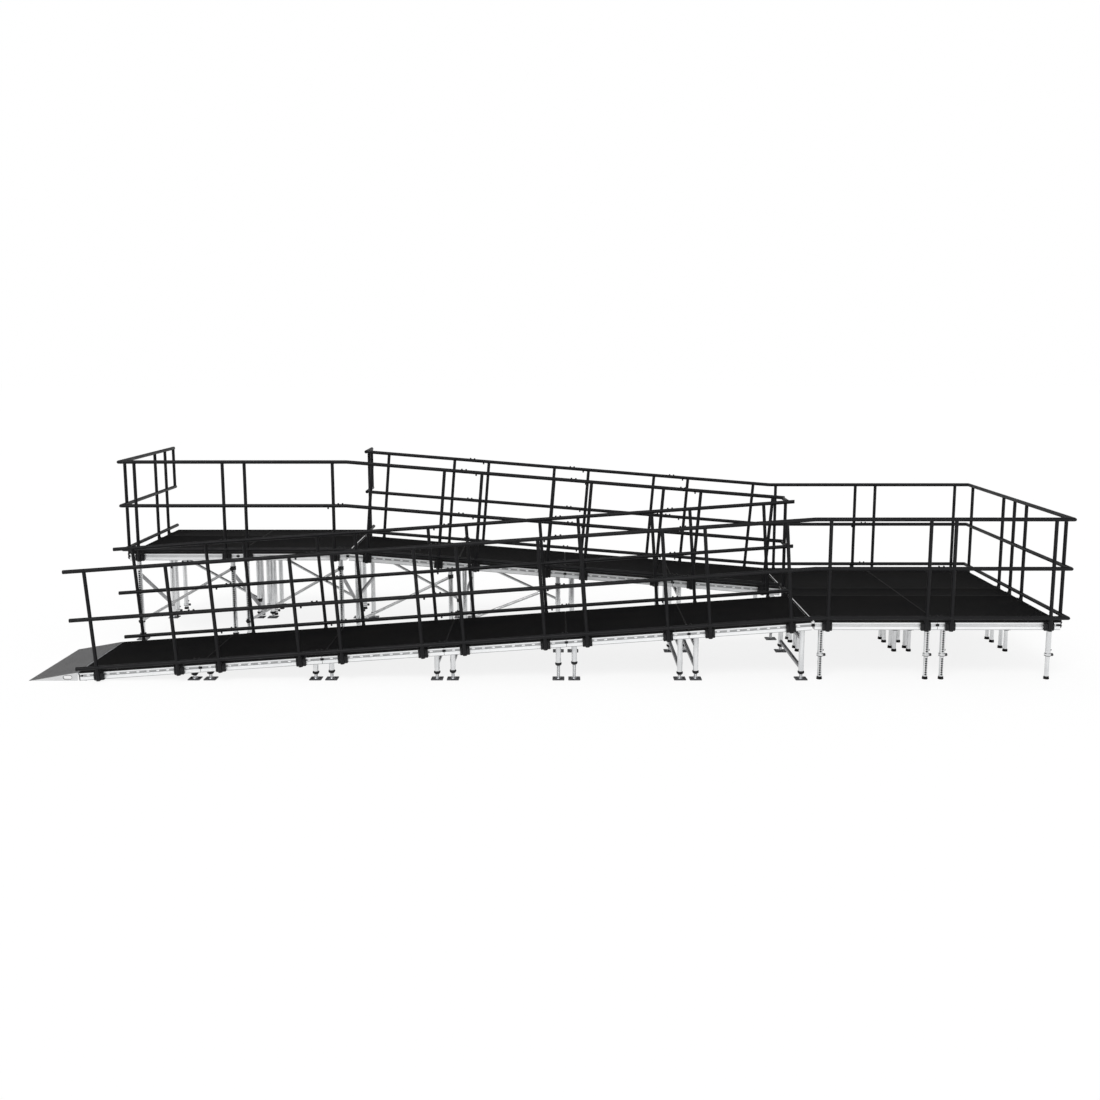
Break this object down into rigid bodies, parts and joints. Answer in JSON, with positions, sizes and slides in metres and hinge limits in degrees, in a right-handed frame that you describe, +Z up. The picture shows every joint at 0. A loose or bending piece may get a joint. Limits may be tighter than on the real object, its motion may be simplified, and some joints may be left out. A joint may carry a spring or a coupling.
{
  "type": "modular stage ramp",
  "caption": "Switchback access ramp of modular stage decks with landings, adjustable legs, tube guardrails and a hinged entry wedge",
  "frame": {"origin": "on the floor under the middle of the whole ramp's bounding box", "axes": "+X along the ramp from the entry wedge to the turning landing, +Y from front to back, +Z up"},
  "size_m": [10.3602, 3.4764, 2.068],
  "materials": {
    "aluminium": "mill finish, satin",
    "black_panel": "black phenolic film on plywood, fine grip texture",
    "black_tube": "black powder coat, satin",
    "grey_tread": "mid-grey non-slip coat",
    "black_knob": "moulded, matt"
  },
  "bodies": {
    "ramp": {"landing_filler_deck_1": "black_panel", "landing_filler_deck_2": "black_panel", "landing_filler_frame_1": "aluminium", "landing_filler_frame_2": "aluminium", "landing_front_deck_1": "black_panel", "landing_front_deck_2": "black_panel", "landing_front_frame_1": "aluminium", "landing_front_frame_2": "aluminium", "landing_front_guardrail": "black_tube", "landing_gap_guardrail": "black_tube", "landing_rear_deck_1": "black_panel", "landing_rear_deck_2": "black_panel", "landing_rear_frame_1": "aluminium", "landing_rear_frame_2": "aluminium", "landing_rear_guardrail": "black_tube", "landing_right_guardrail": "black_tube", "lower_deck_1": "black_panel", "lower_deck_2": "black_panel", "lower_deck_3": "black_panel", "lower_deck_4": "black_panel", "lower_deck_5": "black_panel", "lower_deck_6": "black_panel", "lower_frame_1": "aluminium", "lower_frame_2": "aluminium", "lower_frame_3": "aluminium", "lower_frame_4": "aluminium", "lower_frame_5": "aluminium", "lower_frame_6": "aluminium", "lower_front_guardrail": "black_tube", "lower_rear_guardrail": "black_tube", "top_deck_1": "black_panel", "top_deck_2": "black_panel", "top_filler_deck_1": "black_panel", "top_filler_deck_2": "black_panel", "top_filler_frame_1": "aluminium", "top_filler_frame_2": "aluminium", "top_frame_1": "aluminium", "top_frame_2": "aluminium", "top_front_guardrail": "black_tube", "top_left_guardrail": "black_tube", "top_return_guardrail": "black_tube", "upper_deck_1": "black_panel", "upper_deck_2": "black_panel", "upper_deck_3": "black_panel", "upper_deck_4": "black_panel", "upper_frame_1": "aluminium", "upper_frame_2": "aluminium", "upper_frame_3": "aluminium", "upper_frame_4": "aluminium", "upper_front_guardrail": "black_tube", "upper_rear_guardrail": "black_tube"},
    "entry_flap": {"entry_wedge": "grey_tread"},
    "landing_leg_1": {"landing_leg_1": "aluminium"},
    "landing_leg_2": {"landing_leg_2": "aluminium"},
    "landing_leg_knob_1": {"landing_leg_knob_1": "black_knob"},
    "landing_leg_knob_2": {"landing_leg_knob_2": "black_knob"},
    "lower_jack_2": {"lower_jack_2": "aluminium"},
    "lower_jack_3": {"lower_jack_3": "aluminium"},
    "lower_jack_4": {"lower_jack_4": "aluminium"},
    "lower_jack_5": {"lower_jack_5": "aluminium"}
  },
  "joints": [
    {"name": "entry_flap_hinge", "type": "hinge", "parent": "ramp", "child": "entry_flap", "pos_m": [-4.68505, -1.0646, 0.08128], "axis": [0, 1, 0], "range_deg": [0, 90]},
    {"name": "landing_leg_1_slide", "type": "slide", "parent": "ramp", "child": "landing_leg_1", "axis": [0, 0, -1], "range_m": [-0.12, 0.08]},
    {"name": "landing_leg_2_slide", "type": "slide", "parent": "ramp", "child": "landing_leg_2", "axis": [0, 0, -1], "range_m": [-0.12, 0.08]},
    {"name": "landing_leg_knob_1_turn", "type": "hinge", "parent": "ramp", "child": "landing_leg_knob_1", "pos_m": [2.75165, -1.6042, 0.2508], "axis": [1, 0, 0], "range_deg": [0, 720]},
    {"name": "landing_leg_knob_2_turn", "type": "hinge", "parent": "ramp", "child": "landing_leg_knob_2", "pos_m": [5.03805, -1.6042, 0.2508], "axis": [1, 0, 0], "range_deg": [0, 720]},
    {"name": "lower_jack_2_screw", "type": "slide", "parent": "ramp", "child": "lower_jack_2", "axis": [0, 0, -1], "range_m": [-0.025, 0.06]},
    {"name": "lower_jack_3_screw", "type": "slide", "parent": "ramp", "child": "lower_jack_3", "axis": [0, 0, -1], "range_m": [-0.025, 0.06]},
    {"name": "lower_jack_4_screw", "type": "slide", "parent": "ramp", "child": "lower_jack_4", "axis": [0, 0, -1], "range_m": [-0.025, 0.06]},
    {"name": "lower_jack_5_screw", "type": "slide", "parent": "ramp", "child": "lower_jack_5", "axis": [0, 0, -1], "range_m": [-0.025, 0.06]}
  ]
}
